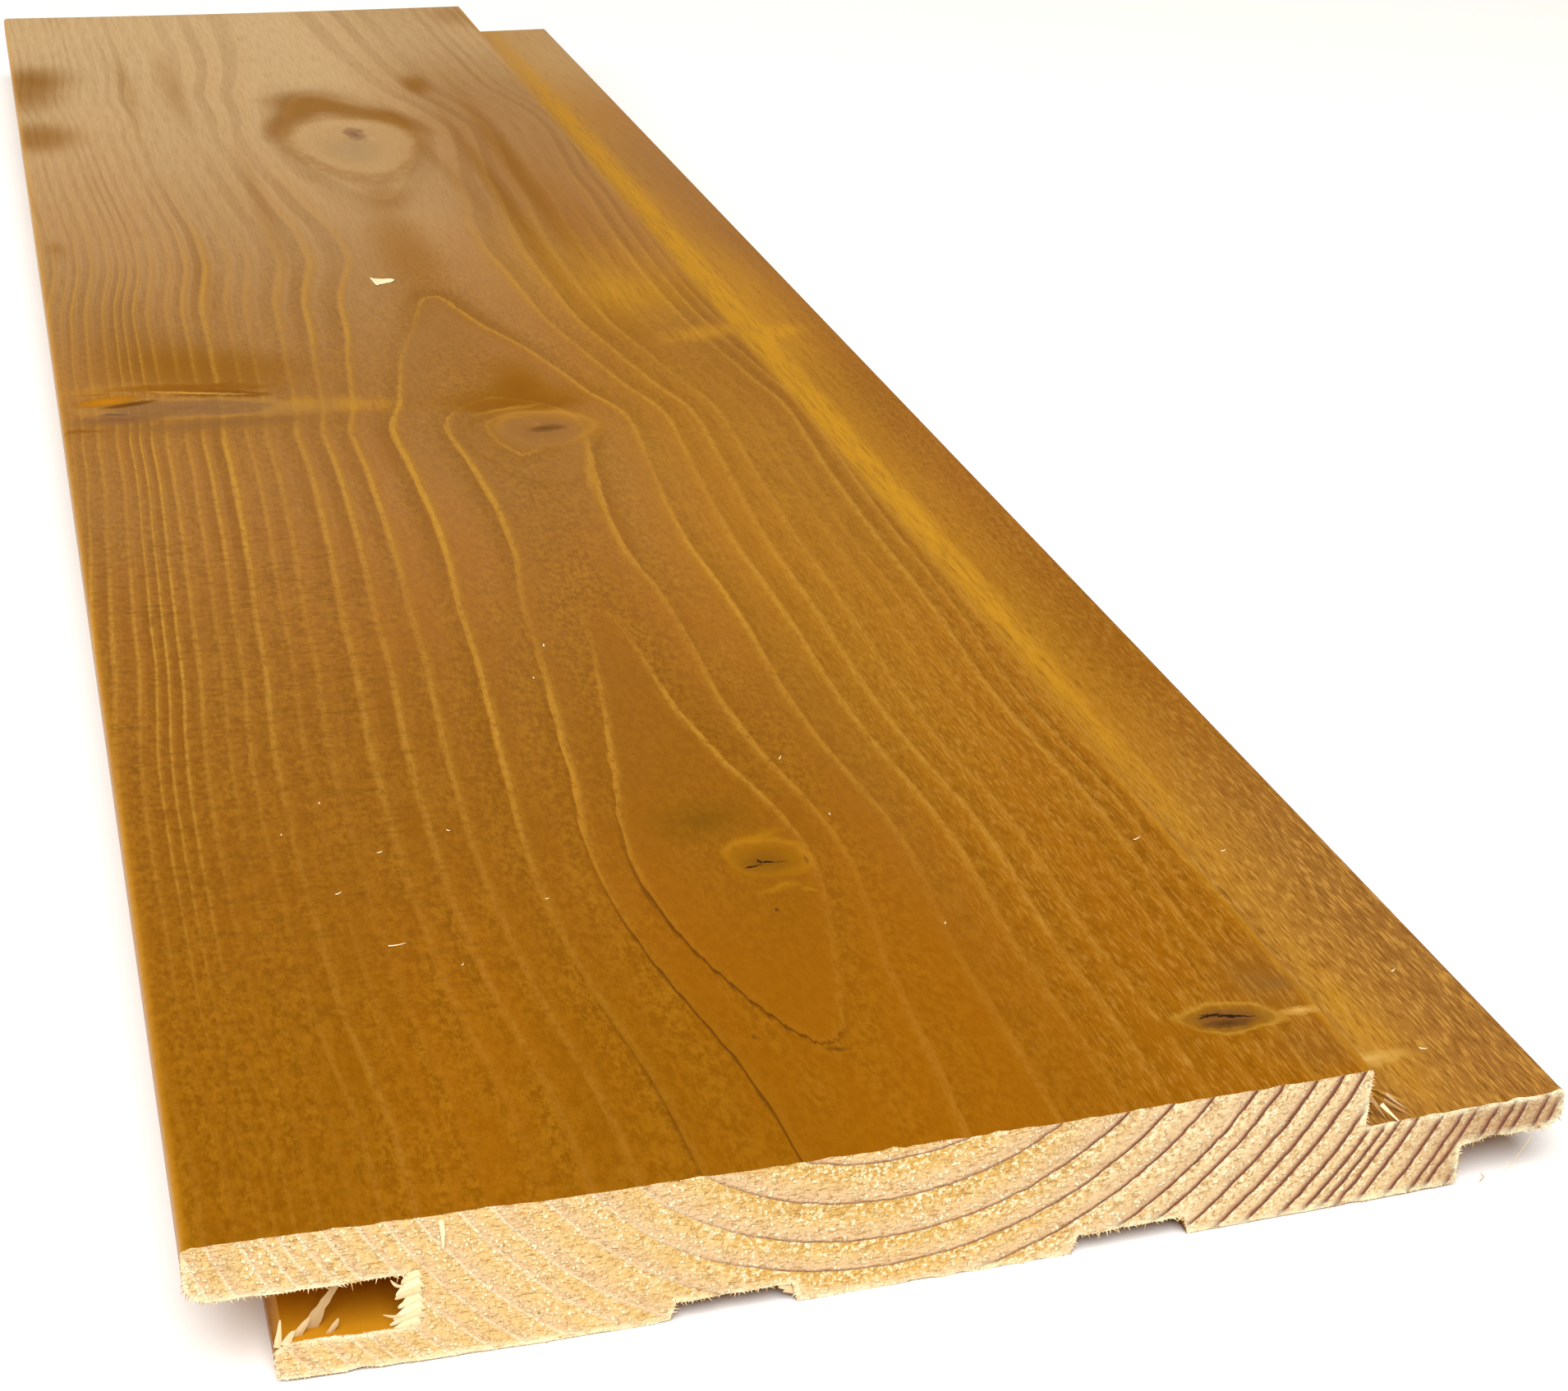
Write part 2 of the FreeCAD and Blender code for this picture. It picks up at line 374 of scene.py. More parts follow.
# Splits, torn spots and torn strips at the foot of the step. Their edges are jagged.
CRACKS = [
    ((-50.6, -31.8), (5, 1.1), 14, fade("#5E3600", 1.0, "#6A4000", 0.9, "#7A4A00", 0.5)),
    ((-53.6, -30.2), (5.4, 2.2), 12, fade("#B87600", 1.0, "#A86A00", 0.9, "#845000")),
    ((-55, -27.2), (4, 0.7), 0, [(0.0, "#9A6400", 0.9), (1.0, "#8A5400", 0.0)]),
    ((-41.5, -28.8), (9, 0.6), -14, fade("#C0903C", 0.9, "#BA8834", 0.7, "#A8782C")),
    ((-2, -172.1), (1.3, 0.13), 12, fade("#120804", 1.0, "#1E0E06", 1.0, "#4A2C0C")),
    ((-0.5, -171.6), (1, 0.15), -14, fade("#120804", 1.0, "#1E0E06", 1.0, "#4A2C0C")),
    ((0.8, -171.9), (0.9, 0.12), -4, fade("#2A160A", 1.0, "#2A160A", 0.9, "#4A2C0C")),
    ((-1.2, -171.3), (0.2, 0.6), 14, fade("#1A0C06", 1.0, "#2A160A", 0.9, "#4A2C0C")),
    ((-2.1, -180.3), (0.34, 0.42), 0, [(0.0, "#2A1604", 1.0), (1.0, "#5A3A0A", 0.0)]),
    ((3.3, -172), (0.3, 1.5), -6, [(0.0, "#6A4008", 0.9), (1.0, "#7A4A08", 0.0)]),
    ((31.4, -207.1), (3.2, 0.24), -16, fade("#22140A", 1.0, "#2E1C0C", 0.95, "#4A3010")),
    ((30.8, -208.2), (2.8, 0.8), -4, fade("#4A2C10", 0.9, "#5A3814", 0.7, "#6A4418")),
    ((29.6, -206.7), (1.4, 0.3), 10, fade("#1A0E06", 1.0, "#2E1C0A", 0.9, "#4A3010", 0.5)),
    ((38, -207.9), (2.6, 0.9), -4, fade("#D2A654", 0.8, "#C09040", 0.6, "#A87428")),
    ((45, -208.7), (6, 1.7), 2, fade("#D8AC5C", 0.8, "#CC9E4A", 0.5, "#A87428", 0.5)),
    ((41.4, -213.4), (0.5, 4), 28, fade("#5E3604", 0.95, "#6A3E06", 0.8, "#885000")),
    ((42.4, -212.6), (0.4, 3.6), 32, fade("#D8A850", 0.95, "#C89038", 0.7, "#A87020")),
    ((43.3, -213.4), (0.45, 3.2), 30, fade("#643A04", 0.9, "#704408", 0.7, "#885000")),
    ((44.3, -214.2), (0.35, 2.6), 34, fade("#D0A050", 0.9, "#C08C38", 0.6, "#A87020")),
    ((42, -201), (2.2, 0.8), 0, fade("#D0A050", 0.9, "#BE8C38", 0.6, "#A87428")),
    ((-3.6, -203.6), (1.5, 0.5), -14, fade("#5A3806", 0.9, "#6A4408", 0.7, "#7A5008", 0.5)),
    ((-10.1, -200.1), (0.5, 0.8), 20, [(0.0, "#5A3806", 0.8), (1.0, "#7A5008", 0.0)]),
]


# Stained and raw wood
# The moulded faces have an amber-brown oil stain. It sinks into the soft early wood and hardly into
# the dense late wood, so each ring ends in a paler line. The sawn ends are bare cream wood.

def rgb(code, alpha=1.0):
    """A colour given as an sRGB hex value, in the linear values that a shader takes."""
    channels = [int(code[i:i + 2], 16) / 255 for i in (1, 3, 5)]
    return [c / 12.92 if c <= 0.04045 else ((c + 0.055) / 1.055) ** 2.4 for c in channels] + [alpha]


def add(tree, kind, inputs=None, **settings):
    """Adds one node, a shader node unless its kind has its full name.

    An input is a value, a hex colour, another node, or one of a node's outputs.
    """
    node = tree.nodes.new(kind if "Node" in kind else "ShaderNode" + kind)
    for name, value in settings.items():
        setattr(node, name, value)
    for key, value in (inputs or {}).items():
        if isinstance(value, bpy.types.Node):
            value = next(socket for socket in value.outputs if not socket.is_unavailable)
        if isinstance(value, bpy.types.NodeSocket):
            tree.links.new(value, node.inputs[key])
        elif isinstance(value, str) and value.startswith("#"):
            node.inputs[key].default_value = rgb(value)
        else:
            node.inputs[key].default_value = value
    return node


def empty_material(name):
    """A new material with an empty node tree."""
    material = bpy.data.materials.new(name)
    material.use_nodes = True
    material.node_tree.nodes.clear()
    return material, material.node_tree


def lay_colours(tree, colour, layers):
    """Lays colours over one another, each by its strength times the masks that say where."""
    for code, cover, *masks in layers:
        for mask in masks:
            cover = add(tree, "Math", {0: mask, 1: cover}, operation="MULTIPLY")
        colour = add(tree, "Mix", {0: cover, 6: colour, 7: code}, data_type="RGBA")
    return colour


def set_shades(ramp, shades):
    """Gives a colour ramp its stops. Each shade is a place from 0 to 1, a colour and its cover."""
    ramp.color_ramp.interpolation = "EASE"
    stops = ramp.color_ramp.elements
    for _ in shades[2:]:
        stops.new(0.5)
    for stop, (where, code, cover) in zip(stops, shades):
        stop.position = where
        stop.color = rgb(code, cover)


def from_ring_edge(tree, ring, width, least):
    """The distance in millimetres from the nearest ring edge, below 0 in late wood."""
    shifted = add(tree, "Math", {0: ring, 1: 0.5}, operation="ADD")
    phase = add(tree, "Math", {0: shifted}, operation="FRACT")
    signed = add(tree, "Math", {0: phase, 1: 0.5}, operation="SUBTRACT")
    shown = add(tree, "Math", {0: width, 1: least}, operation="MAXIMUM")
    return add(tree, "Math", {0: signed, 1: shown}, operation="MULTIPLY")


def edge_shades(tree, distance, reach, *shade_lists):
    """Colour ramps whose shades lie by a distance, up to its reach on either side of 0."""
    share = add(tree, "Math", {0: distance, 1: 1 / (2 * reach), 2: 0.5}, operation="MULTIPLY_ADD")
    ramps = [add(tree, "ValToRGB", {"Fac": share}) for _ in shade_lists]
    for ramp, shades in zip(ramps, shade_lists):
        set_shades(ramp, [(0.5 + where / (2 * reach), code, cover) for where, code, cover in shades])
    return ramps


def grain_noises(tree, mm, sizes):
    """Noises by name. A size is a cell across and along the grain in millimetres, detail, roughness."""
    noises = {}
    for name, (across, along, detail, rough) in sizes.items():
        scaled = add(tree, "VectorMath", {0: mm, 1: (1 / across, 1 / along, 1 / across)},
                     operation="MULTIPLY")
        noises[name] = add(tree, "TexNoise", {
            "Vector": scaled, "Scale": 1.0, "Detail": detail, "Roughness": rough})
    return noises


def finish_wood(tree, colour, raised, strength, depth, looks):
    """Ends a wood material: its colour, and its grain raised to a depth in millimetres."""
    bump = add(tree, "Bump", {"Height": raised, "Strength": strength, "Distance": depth * MM})
    surface = add(tree, "BsdfPrincipled", {"Base Color": colour, "Normal": bump, **looks})
    add(tree, "OutputMaterial", {"Surface": surface})


def draw_marks(tree, place, broken, colour, marks):
    """Draws knots or cracks over a colour. Broken thins them in places."""
    for (x, y), (half_width, half_length), turn, shades, *point in marks:
        local = add(tree, "Mapping", {
            "Vector": place, "Location": (x, y, 0), "Rotation": (0, 0, math.radians(turn)),
            "Scale": (half_width, half_length, 1000)}, vector_type="TEXTURE")
        if point:
            parts = add(tree, "SeparateXYZ", {0: local})
            swell = add(tree, "Math", {0: parts.outputs["Y"], 1: -point[0], 2: 1.0},
                        operation="MULTIPLY_ADD")
            width = add(tree, "Math", {0: parts.outputs["X"], 1: swell}, operation="MULTIPLY")
            local = add(tree, "CombineXYZ", {"X": width, "Y": parts.outputs["Y"]})
        reach = add(tree, "VectorMath", {0: local}, operation="LENGTH").outputs["Value"]
        scaled = add(tree, "Math", {0: reach, 1: 0.8}, operation="MULTIPLY")
        ramp = add(tree, "ValToRGB", {"Fac": scaled})
        set_shades(ramp, [(0.8 * where, code, cover) for where, code, cover in shades])
        colour = lay_colours(tree, colour, [(ramp.outputs["Color"], broken, ramp.outputs["Alpha"])])
    return colour


AMBER = "#925600"
AMBER_BROWN = "#885200"
PORE_PALE = "#A26C12"
PORE_DARK = "#784800"
DASH_DARK = "#6A3E04"
FLECK_PALE = "#C49240"
DEEP_AMBER = "#885600"
DULL_GREY = "#84561C"
PALE_GOLD = "#C48C1E"
PEN_BROWN = "#5A3404"
# Pale milky colour: partly pale stain, partly painted sheen.
PALE_STAIN_AND_SHEEN = "#D6B888"
GROOVE_AMBER = "#C08418"
LINE_GOLD = "#B88020"

STAIN_FIELDS = ("ring", "ring_width", "late", "early", "crisp", "softness", "mottling", "clouds", "stain_pallor_and_sheen",
                "deep", "grey", "pale", "pen", "edge", "dashes", "flecks", "groove")

# Shades across a ring's edge, by millimetres from it. Late wood is below 0 and early wood above.
LATE_SHADES = [(-1.6, "#A06C10", 0.0), (-1.0, "#A4721A", 0.45), (-0.5, "#B48430", 0.95),
               (-0.2, "#B48430", 0.8), (0.15, "#A87818", 0.0)]
EARLY_SHADES = [(-0.15, "#764600", 0.0), (0.35, "#764600", 0.75), (1.1, "#7A4A00", 0.7),
                (2.2, "#7E4E06", 0.25), (3.2, "#7E4E06", 0.0)]
EDGE_REACH = 4.0
LEAST_SOFT_RING = 3.4
KNOT_BEND = 1.7
CRACK_JAG = 0.5

STAIN_GRAIN = {"fibre": (0.45, 7.0, 3.0, 0.5), "mottle": (0.6, 1.3, 5.0, 0.75), "dash": (2.2, 0.9, 3.0, 0.6),
               "fleck": (0.26, 2.4, 2.0, 0.6), "patch": (4.0, 16.0, 2.0, 0.5), "bend": (5.0, 5.0, 4.0, 0.6),
               "gap": (2.2, 2.2, 2.0, 0.5), "jag": (0.9, 0.9, 3.0, 0.7)}


def stained_spruce():
    """Planed spruce under oil stain: satin, with saturated amber late wood and mottled early wood."""
    material, tree = empty_material("oil_stained_spruce")
    place = add(tree, "TexCoord").outputs["Object"]
    mm = add(tree, "VectorMath", {0: place, "Scale": 1000.0}, operation="SCALE")
    held = {name: add(tree, "Attribute", attribute_name=name).outputs["Fac"] for name in STAIN_FIELDS}
    noises = grain_noises(tree, mm, STAIN_GRAIN)

    ring = add(tree, "Math", {0: noises["fibre"], 1: 0.045, 2: held["ring"]}, operation="MULTIPLY_ADD")
    phase = add(tree, "Math", {0: ring}, operation="FRACT")
    outward = add(tree, "Math", {0: phase, 1: held["ring_width"]}, operation="MULTIPLY")
    soft_width = add(tree, "Math", {0: held["ring_width"], 1: held["softness"]}, operation="DIVIDE")
    soft_edge = from_ring_edge(tree, ring, soft_width, LEAST_SOFT_RING)
    sharp_edge = from_ring_edge(tree, ring, held["ring_width"], 0.0)
    late, early = edge_shades(tree, soft_edge, EDGE_REACH, LATE_SHADES, EARLY_SHADES)
    masks = {}
    for name, (source, none, full) in {
            "speck": (noises["mottle"], 0.36, 0.64), "grained": (noises["mottle"], 0.25, 0.58),
            "early wood": (phase, 1.1, 0.0), "patchy": (noises["patch"], 0.25, 0.6),
            "streaky": (noises["fibre"], -0.6, 0.7), "dash": (noises["dash"], 0.46, 0.72),
            "ragged": (noises["fibre"], 0.05, 0.6), "fleck": (noises["fleck"], 0.5, 0.66),
            "dark fleck": (noises["fleck"], 0.47, 0.3),
            "line start": (sharp_edge, -0.6, -0.25), "line end": (sharp_edge, 0.05, -0.1),
            "pen": (outward, 0.5, 0.1), "whole": (noises["gap"], 0.2, 0.55)}.items():
        masks[name] = add(tree, "MapRange", {"Value": source, "From Min": none, "From Max": full},
                          interpolation_type="SMOOTHSTEP")
    mottled = lay_colours(tree, PORE_DARK, [(PORE_PALE, 1.0, masks["speck"])])

    colour = lay_colours(tree, AMBER, [
        (AMBER_BROWN, 1.0, held["clouds"]),
        (mottled, 0.7, held["mottling"], masks["early wood"], masks["patchy"]),
        (mottled, 0.2, held["mottling"]),
        # Painted sheen: a pale milky colour, partly pale stain and partly standing in for the reflection on
        # the far part of the board.
        (PALE_STAIN_AND_SHEEN, 1.0, held["stain_pallor_and_sheen"], masks["streaky"]),
        (DEEP_AMBER, 0.8, held["deep"]),
        (early.outputs["Color"], 1.0, early.outputs["Alpha"], held["early"]),
        (late.outputs["Color"], 1.0, late.outputs["Alpha"], held["late"], masks["grained"]),
        (LINE_GOLD, 0.6, masks["line start"], masks["line end"], held["crisp"], masks["grained"]),
        (DASH_DARK, 0.75, masks["dash"], held["dashes"]),
        (DULL_GREY, 0.7, held["grey"]),
        (PALE_GOLD, 1.0, held["pale"], masks["ragged"]),
        (FLECK_PALE, 0.65, masks["fleck"], held["flecks"]),
        (DASH_DARK, 0.6, masks["dark fleck"], held["flecks"]),
        (PALE_GOLD, 0.5, held["edge"]),
        (GROOVE_AMBER, 0.85, held["groove"])])

    for noise_name, reach, marks, whole in (
            ("bend", KNOT_BEND, KNOTS, masks["whole"]), ("jag", CRACK_JAG, CRACKS, None)):
        centred = add(tree, "VectorMath", {
            0: noises[noise_name].outputs["Color"], 1: (0.5, 0.5, 0.5)}, operation="SUBTRACT")
        pushed = add(tree, "VectorMath", {0: centred, 1: (2 * reach,) * 3, 2: mm}, operation="MULTIPLY_ADD")
        broken = 1.0
        if whole:
            broken = add(tree, "Math", {0: whole, 1: 0.5, 2: 0.5}, operation="MULTIPLY_ADD")
        colour = draw_marks(tree, pushed, broken, colour, marks)
    colour = lay_colours(tree, colour, [(PEN_BROWN, 0.85, masks["pen"], held["pen"])])

    raised = add(tree, "Math", {0: late.outputs["Alpha"], 1: held["late"]}, operation="MULTIPLY")
    for noise_name, height in (("fibre", 0.6), ("mottle", 0.6), ("fleck", 0.3)):
        raised = add(tree, "Math", {0: noises[noise_name], 1: height, 2: raised}, operation="MULTIPLY_ADD")
    finish_wood(tree, colour, raised, 0.4, 0.12, {
        "Roughness": 0.42, "IOR": 1.5, "Specular IOR Level": 0.28, "Specular Tint": "#C87800"})
    return material


RAW_CREAM = "#EEC888"
RAW_PINK = "#E4C296"
RAW_GOLD = "#DCAE50"
RAW_PALE = "#E4C8A0"
RAW_PIT = "#96682E"
RAW_STREAK = "#B8863E"
# Painted glints: bright specks that stand in for light caught by torn fibre ends, also used for a painted
# highlight along the cut's rim.
RAW_PAINTED_GLINT = "#FFF8D0"
RAW_SHADE = "#A87C54"
RAW_GRAIN = {"grain": (0.42, 0.42, 4.0, 0.75), "patch": (3.0, 3.0, 2.0, 0.5),
             "wisp": (1.3, 1.3, 3.0, 0.6), "lump": (0.42, 0.42, 4.0, 0.6)}

# Shades across a ring's edge on the sawn end, by millimetres from it.
BROWN_LINE = [(-0.5, "#A87850", 0.0), (-0.3, "#9A6848", 0.5), (-0.16, "#845038", 0.95),
              (-0.02, "#6E3E2A", 1.0), (0.08, "#8C5A3E", 0.0)]
PALE_LINE = [(-0.5, "#FFF2C8", 0.0), (-0.3, "#FFF2C8", 0.9), (-0.14, "#FFF2C8", 0.9), (0.05, "#FFF2C8", 0.0)]
LINE_REACH = 1.0


def raw_spruce():
    """Spruce fresh from the saw: matt cream end grain, torn fibre ends and thin brown late wood."""
    material, tree = empty_material("raw_sawn_spruce")
    place = add(tree, "TexCoord").outputs["Object"]
    mm = add(tree, "VectorMath", {0: place, "Scale": 1000.0}, operation="SCALE")
    across = add(tree, "SeparateXYZ", {0: mm}).outputs["X"]
    held = {name: add(tree, "Attribute", attribute_name=name).outputs["Fac"]
            for name in ("ring", "ring_width", "rim")}
    noises = grain_noises(tree, mm, RAW_GRAIN)
    streak_place = add(tree, "VectorMath", {0: mm, 1: (1.1, 1.0, 6.5)}, operation="MULTIPLY")
    streak = add(tree, "TexNoise", {
        "Vector": streak_place, "Scale": 1.0, "Detail": 4.0, "Roughness": 0.65, "Distortion": 0.8})
    glint_spots = add(tree, "TexVoronoi", {"Vector": mm, "Scale": 2.3}).outputs["Distance"]

    ring = add(tree, "Math", {0: noises["wisp"], 1: 0.08, 2: held["ring"]}, operation="MULTIPLY_ADD")
    phase = add(tree, "Math", {0: ring}, operation="FRACT")
    edge = from_ring_edge(tree, ring, held["ring_width"], 0.0)
    thin = add(tree, "MapRange", {
        "Value": across, "From Min": -5.0, "From Max": 34.0, "To Min": 1.6, "To Max": 0.7})
    drawn = add(tree, "Math", {0: edge, 1: thin}, operation="MULTIPLY")
    brown, pale = edge_shades(tree, drawn, LINE_REACH, BROWN_LINE, PALE_LINE)
    masks = {}
    for name, (source, none, full) in {
            "late": (phase, 0.3, 0.95), "early": (phase, 0.8, 0.05), "left": (across, -14.0, -30.0),
            "from left": (across, -30.0, -10.0), "right": (across, 2.0, 22.0),
            "not right": (across, 26.0, 6.0), "tongue": (across, STEP_X, 55.0),
            "pit": (noises["grain"], 0.5, 0.34), "patchy": (noises["patch"], 0.3, 0.6),
            "streak": (streak, 0.48, 0.36), "dot": (glint_spots, 0.5, 0.28), "lit": (noises["grain"], 0.44, 0.56),
            "lump": (noises["lump"], 0.51, 0.6), "broken": (noises["wisp"], 0.3, 0.55)}.items():
        masks[name] = add(tree, "MapRange", {"Value": source, "From Min": none, "From Max": full},
                          interpolation_type="SMOOTHSTEP")
    left_of_gold = add(tree, "Math", {0: masks["from left"], 1: 0.75, 2: 0.25}, operation="MULTIPLY_ADD")
    line_cover = add(tree, "Math", {0: masks["right"], 1: 0.3, 2: 0.75}, operation="MULTIPLY_ADD")
    colour = lay_colours(tree, RAW_CREAM, [
        (RAW_PINK, 0.9, masks["late"]),
        (RAW_GOLD, 0.85, masks["early"], left_of_gold, masks["not right"]),
        (RAW_PALE, 0.45, masks["right"]),
        (RAW_SHADE, 0.3, masks["right"], masks["patchy"], masks["late"]),
        (RAW_STREAK, 0.9, masks["streak"], masks["not right"]),
        (RAW_PIT, 0.4, masks["pit"]),
        (RAW_PIT, 0.5, masks["pit"], masks["right"], masks["early"]),
        # Painted glints: bright specks where fibre ends would catch the light.
        (RAW_PAINTED_GLINT, 0.85, masks["dot"], masks["lit"], masks["patchy"]),
        (RAW_PAINTED_GLINT, 0.7, masks["lump"], masks["early"], left_of_gold),
        (RAW_SHADE, 0.6, masks["tongue"]),
        (brown.outputs["Color"], 1.0, brown.outputs["Alpha"], masks["from left"], line_cover),
        (pale.outputs["Color"], 0.5, pale.outputs["Alpha"], masks["left"], masks["broken"]),
        # Painted highlight along the edges of the sawn end.
        (RAW_PAINTED_GLINT, 0.9, held["rim"], masks["broken"])])

    raised = add(tree, "Math", {0: noises["grain"], 1: 1.2, 2: masks["dot"]}, operation="MULTIPLY_ADD")
    raised = add(tree, "Math", {0: streak, 1: 0.8, 2: raised}, operation="MULTIPLY_ADD")
    finish_wood(tree, colour, raised, 0.7, 0.22, {"Roughness": 0.85, "Specular IOR Level": 0.3})
    return material


PEN_PATCHES = [(-12, -197, 9, 26, 0, 1.2), (-9, -213, 10, 12, 0, 0.8), (-14.5, -160, 3, 24, 0, 0.35)]
RING_SEED = 5
# How pale the stain looks at places along the board: partly the stain drying out pale, partly a painted
# milky sheen that stands in for the reflection, growing towards the far end.
STAIN_PALLOR_AND_SHEEN_ALONG = {-190: 0.0, -150: 0.02, -110: 0.06, -70: 0.13, -30: 0.12, 10: 0.25, 60: 0.46, 120: 0.68,
             160: 0.77, 200: 0.84}


def rise(values, none, full):
    """A soft rise from 0 to 1 between two values."""
    share = np.clip((values - none) / (full - none), 0, 1)
    return share * share * (3 - 2 * share)


def rim_distance(points):
    """The distance from the section's outline for each point, seen along the board."""
    nearest = np.full(len(points), board_width)
    for (ax, az), (bx, bz) in zip(outline, outline[1:] + outline[:1]):
        reach = np.hypot(bx - ax, bz - az)
        along = ((points[:, 0] - ax) * (bx - ax) + (points[:, 2] - az) * (bz - az)) / reach ** 2
        along = np.clip(along, 0, 1)
        apart = np.hypot(points[:, 0] - ax - along * (bx - ax), points[:, 2] - az - along * (bz - az))
        nearest = np.minimum(nearest, apart)
    return nearest


def stain_fields(points, ring_number):
    """The slow changes of the stain over the board, one value for each point of the mesh."""
    x, y, z = points.T
    face = (z > SHOW_FACE_LOW) & (x < STEP_X + 0.5)
    tongue = (x > STEP_X + 0.2) & (z < TONGUE_TOP + 1.4) & (z > TONGUE_TOP - 0.6)
    middle = rise(x, -30, -15) * rise(x, 24, 13)
    near = rise(y, -130, -185)
    far = rise(y, -20, 110)
    lottery = np.random.default_rng(RING_SEED).uniform(0.35, 1.0, 64)
    lottery[1:6] = (0.9, 1.0, 1.0, 0.8, 0.8)
    nearest = np.rint(ring_number).astype(int)
    own = lottery[nearest]
    wander = np.clip(0.75 + 0.9 * waver(points, (14.0, 45.0, 14.0), 31.0), 0.15, 1.0)
    calm_end = 1 - 0.55 * near * (1 - 0.3 * middle) * (x < 16)
    mid_left = rise(x, 10, -15) * rise(y, -150, -100) * rise(y, 60, 20)
    pen = np.clip(soft_patches(points, PEN_PATCHES), 0, 1) * face
    lines = own * wander * calm_end * (1 - 0.7 * pen) * (1 - 0.45 * rise(y, -165, -205) * (x >= 16))
    lines = np.where(tongue, 0.22 * lines, lines)
    deep = np.clip(soft_patches(points, DEEP_PATCHES), 0, 1)
    left_share = 1 - (0.58 - 0.35 * rise(y, 130, 190)) * np.clip((x - 3) / 18, 0, 1) - 0.12 * tongue
    left_share -= 0.35 * np.exp(-(((x + 2) / 8) ** 2)) * rise(y, 60, 20)
    rounding = np.minimum(np.abs(x - board_low.x), np.abs(x - STEP_X))
    right_near = rise(x, 8, 26) * rise(y, -60, -150)
    calm_middle = 1 - 0.5 * middle * near
    speckled = 0.95 - 0.75 * far - 0.35 * middle * near + 0.2 * (x < -15)
    tongue_flecks = tongue * (0.35 * rise(y, 20, -120) + 0.65 * rise(y, -130, -190))
    pallor_and_sheen = smooth_along(STAIN_PALLOR_AND_SHEEN_ALONG, y, 8.0) * left_share
    return {
        "ring": ring_number,
        "late": (0.9 + 0.3 * mid_left + 0.5 * deep * (y < 0)) * lines * (1 - 0.85 * far) * calm_middle,
        "early": lines * (0.6 - 0.2 * far) * (1 - 0.45 * middle * near),
        "crisp": own * middle * rise(y, -195, -150) * (1 - rise(y, 0, 70)) * wander * face,
        "softness": 1 + 1.3 * far,
        "mottling": np.clip(speckled, 0, 1) * (1 - 0.4 * deep),
        "clouds": rise(waver(points, (18.0, 60.0, 18.0), 51.0), -0.35, 0.35),
        # Partly pale stain, partly painted sheen: stronger towards the far end and the left, weaker on stain
        # pools; near the end of the tongue it greys the wood.
        "stain_pallor_and_sheen": pallor_and_sheen * (1 - 0.3 * deep) + 0.12 * tongue * rise(y, -120, -205),
        "deep": deep,
        "grey": np.clip(soft_patches(points, GREY_PATCHES), 0, 1),
        "pale": np.clip(soft_patches(points, PALE_PATCHES), 0, 1),
        "pen": pen,
        "edge": np.exp(-((rounding / 0.6) ** 2)) * face,
        "dashes": 0.5 * rise(x, -18, -36) * rise(y, -55, -90) * (1 - 0.5 * rise(y, -170, -205)),
        "flecks": np.clip(0.45 * right_near * face + tongue_flecks, 0, 1),
        # rim: a painted highlight along the edges of the sawn end, below the show face.
        "rim": np.exp(-((rim_distance(points) / 0.45) ** 2)) * (y < board_low.y + 0.01) * (z < 12.5),
        "groove": ((x < -42.4) & (z > 3.5) & (z < 8.8)).astype(float),
    }


wood = board_mesh()
points = np.array([vertex.co[:] for vertex in wood.vertices]) / MM
ring_number, ring_growth = ring_values(points)
fields = stain_fields(points, ring_number)
rim_lookup = {(round(x, 3), round(z, 3)): index for index, (x, y, z) in enumerate(points)
              if abs(y - board_low.y) < 1e-3}
rim_indices = [rim_lookup[round(x, 3), round(z, 3)] for x, z in outline]
for name, values in fields.items():
    wood.attributes.new(name, "FLOAT", "POINT").data.foreach_set("value", values.astype(float))
corner_widths = ring_widths(wood, ring_growth)
wood.attributes.new("ring_width", "FLOAT", "CORNER").data.foreach_set("value", corner_widths)
sawn = [abs(face.normal.y) > 0.7 for face in wood.polygons]
shape_board(wood)
wood.materials.append(stained_spruce())
wood.materials.append(raw_spruce())
wood.polygons.foreach_set("material_index", [int(flag) for flag in sawn])
wood.shade_smooth()
wood.set_sharp_from_angle(angle=math.radians(40))
panel_board = put_in_scene("stained_panel_board", wood)
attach(panel_board, "root")
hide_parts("panel_board")


# Torn rim of the saw cut
# The saw leaves short fibres standing along every edge of the cut. They are bare wood, grown along
# the rim and thickest round the groove, the relief grooves and the bottom edge.

FIBRE_SPACING = 0.33
FIBRE_LENGTH = 0.5
FIBRE_THICKNESS = 0.13
FIBRE_SEED = 11
BOTTOM_EDGE = 0.6
FIBRE_CREAM = "#F0DCAC"
FIBRE_PALE = "#FFF0CC"
FIBRE_AMBER = "#A66E10"


def grown(name, source, tree, sizes):
    """Runs a node tree on a source mesh and keeps what it makes as a plain mesh."""
    piece = put_in_scene(name, source)
    maker = piece.modifiers.new(name, "NODES")
    maker.node_group = tree
    for socket in tree.interface.items_tree:
        if socket.name in sizes:
            maker[socket.identifier] = sizes[socket.name]
    state = bpy.context.evaluated_depsgraph_get()
    made = bpy.data.meshes.new_from_object(piece.evaluated_get(state))
    piece.modifiers.clear()
    piece.data = made
    piece.data.name = name
    return piece


